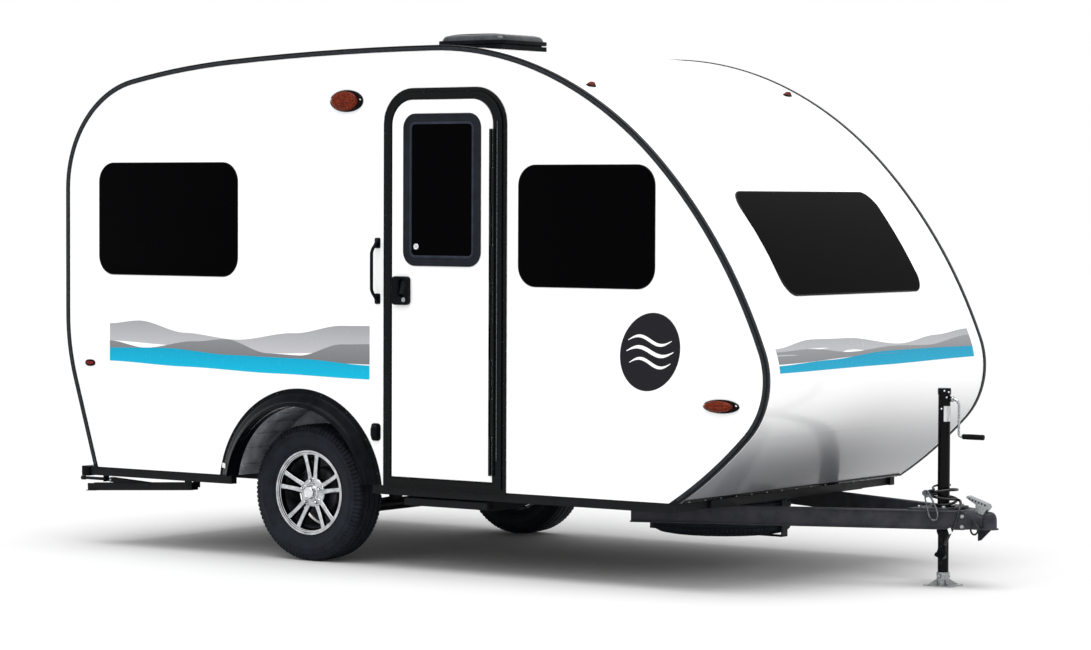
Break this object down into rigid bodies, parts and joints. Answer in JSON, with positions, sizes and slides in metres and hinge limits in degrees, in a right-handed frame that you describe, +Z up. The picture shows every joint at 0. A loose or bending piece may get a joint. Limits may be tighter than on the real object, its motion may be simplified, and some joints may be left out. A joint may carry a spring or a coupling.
{
  "type": "travel trailer",
  "caption": "Small lightweight travel trailer with a rounded white shell, side entry door, tinted windows, single axle, A-frame tongue, jack and corner stabilizers.",
  "frame": {"origin": "on the ground, centred under the bounding box", "axes": "+X forward to the coupler, +Y to the left side, +Z up"},
  "size_m": [4.839, 2.132, 2.592],
  "materials": {
    "amber_lens": "gloss amber",
    "black_metal": "satin black paint",
    "black_trim": "satin black moulding",
    "charcoal_metal": "satin charcoal paint",
    "chrome": "bright chrome",
    "floor_board": "matte sealed board",
    "grey_liner": "matte grey",
    "red_lens": "gloss red",
    "rubber": "matte black rubber",
    "smoke_plastic": "smoky gloss",
    "tinted_glass": "gloss dark tint",
    "tyre": "matte black rubber",
    "wheel_metal": "machined aluminium",
    "white_metal": "gloss white paint",
    "white_shell": "gloss white laminate skin",
    "zinc": "bright zinc plate"
  },
  "bodies": {
    "trailer": {"amber_lamps": "amber_lens", "axle_beam": "black_metal", "cable_hatch": "black_trim", "chassis_crossmembers": "charcoal_metal", "chassis_rails": "charcoal_metal", "coupler": "charcoal_metal", "coupler_latch": "zinc", "door_frame": "black_metal", "edge_trims": "black_trim", "fender_flares": "black_trim", "floor_panel": "floor_board", "front_panel": "white_shell", "front_window": "tinted_glass", "grab_handle": "black_trim", "jack_crank": "zinc", "jack_plate": "charcoal_metal", "jack_tube": "black_metal", "leaf_springs": "black_metal", "left_wall": "white_shell", "left_windows": "tinted_glass", "rear_bumper": "charcoal_metal", "rear_panel": "white_shell", "red_lamps": "red_lens", "right_wall": "white_shell", "right_windows": "tinted_glass", "roof_panel": "white_shell", "safety_cable": "black_trim", "safety_hook": "zinc", "spare_carrier": "black_metal", "spare_rim": "white_metal", "spare_tyre": "tyre", "stabilizer_brackets": "black_metal", "step_runners": "black_metal", "tongue_rails": "charcoal_metal", "trailer_plug": "black_trim", "vent_base": "black_trim", "wheel_wells": "grey_liner", "wiring_coil": "rubber", "wiring_lead": "rubber"},
    "door": {"door_leaf": "white_shell", "door_hinge": "black_metal", "door_window_frame": "black_metal", "door_window_glass": "tinted_glass", "door_latch": "black_trim"},
    "roof_vent_cover": {"vent_lid": "smoke_plastic"},
    "jack_post": {"jack_leg": "black_metal", "jack_foot": "zinc"},
    "step_tray": {"entry_step": "black_metal"},
    "right_wheel": {"right_tyre": "tyre", "right_rim": "wheel_metal", "right_hub": "chrome"},
    "left_wheel": {"left_tyre": "tyre", "left_rim": "wheel_metal", "left_hub": "chrome"},
    "right_stabilizer": {"right_stabilizer_leg": "black_metal"},
    "right_brace": {"right_stabilizer_brace": "black_metal"},
    "right_nut": {"right_stabilizer_nut": "zinc"},
    "left_stabilizer": {"left_stabilizer_leg": "black_metal"},
    "left_brace": {"left_stabilizer_brace": "black_metal"},
    "left_nut": {"left_stabilizer_nut": "zinc"}
  },
  "joints": [
    {"name": "door_hinge_turn", "type": "hinge", "parent": "trailer", "child": "door", "pos_m": [0.31, -1.028, 1.343], "axis": [0, 0, 1], "range_deg": [0, 165]},
    {"name": "right_wheel_spin", "type": "hinge", "parent": "trailer", "child": "right_wheel", "pos_m": [-0.868, -0.8625, 0.334], "axis": [0, 1, 0], "continuous": true},
    {"name": "left_wheel_spin", "type": "hinge", "parent": "trailer", "child": "left_wheel", "pos_m": [-0.868, 0.8625, 0.334], "axis": [0, 1, 0], "continuous": true},
    {"name": "vent_cover_tilt", "type": "hinge", "parent": "trailer", "child": "roof_vent_cover", "pos_m": [-0.252, 0, 2.542], "axis": [0, 1, 0], "range_deg": [0, 50]},
    {"name": "jack_travel", "type": "slide", "parent": "trailer", "child": "jack_post", "axis": [0, 0, 1], "range_m": [-0.14, 0.16]},
    {"name": "step_travel", "type": "slide", "parent": "trailer", "child": "step_tray", "axis": [0, -1, 0], "range_m": [0, 0.25]},
    {"name": "right_stabilizer_swing", "type": "hinge", "parent": "trailer", "child": "right_stabilizer", "pos_m": [-1.65, -0.905, 0.33], "axis": [0, -1, 0], "range_deg": [0, 22]},
    {"name": "right_brace_swing", "type": "hinge", "parent": "right_stabilizer", "child": "right_brace", "pos_m": [-1.91963, -0.905, 0.31587], "axis": [0, -1, 0], "range_deg": [-44.5, 0.5]},
    {"name": "right_nut_swing", "type": "hinge", "parent": "right_brace", "child": "right_nut", "pos_m": [-2.18926, -0.905, 0.33], "axis": [0, -1, 0], "range_deg": [-0.5, 22.5]},
    {"name": "left_stabilizer_swing", "type": "hinge", "parent": "trailer", "child": "left_stabilizer", "pos_m": [-1.65, 0.905, 0.33], "axis": [0, -1, 0], "range_deg": [0, 22]},
    {"name": "left_brace_swing", "type": "hinge", "parent": "left_stabilizer", "child": "left_brace", "pos_m": [-1.91963, 0.905, 0.31587], "axis": [0, -1, 0], "range_deg": [-44.5, 0.5]},
    {"name": "left_nut_swing", "type": "hinge", "parent": "left_brace", "child": "left_nut", "pos_m": [-2.18926, 0.905, 0.33], "axis": [0, -1, 0], "range_deg": [-0.5, 22.5]}
  ],
  "couplings": [
    {"joint": "right_brace_swing", "follows": "right_stabilizer_swing", "ratio": -2},
    {"joint": "right_nut_swing", "follows": "right_stabilizer_swing", "ratio": 1},
    {"joint": "left_brace_swing", "follows": "left_stabilizer_swing", "ratio": -2},
    {"joint": "left_nut_swing", "follows": "left_stabilizer_swing", "ratio": 1}
  ]
}
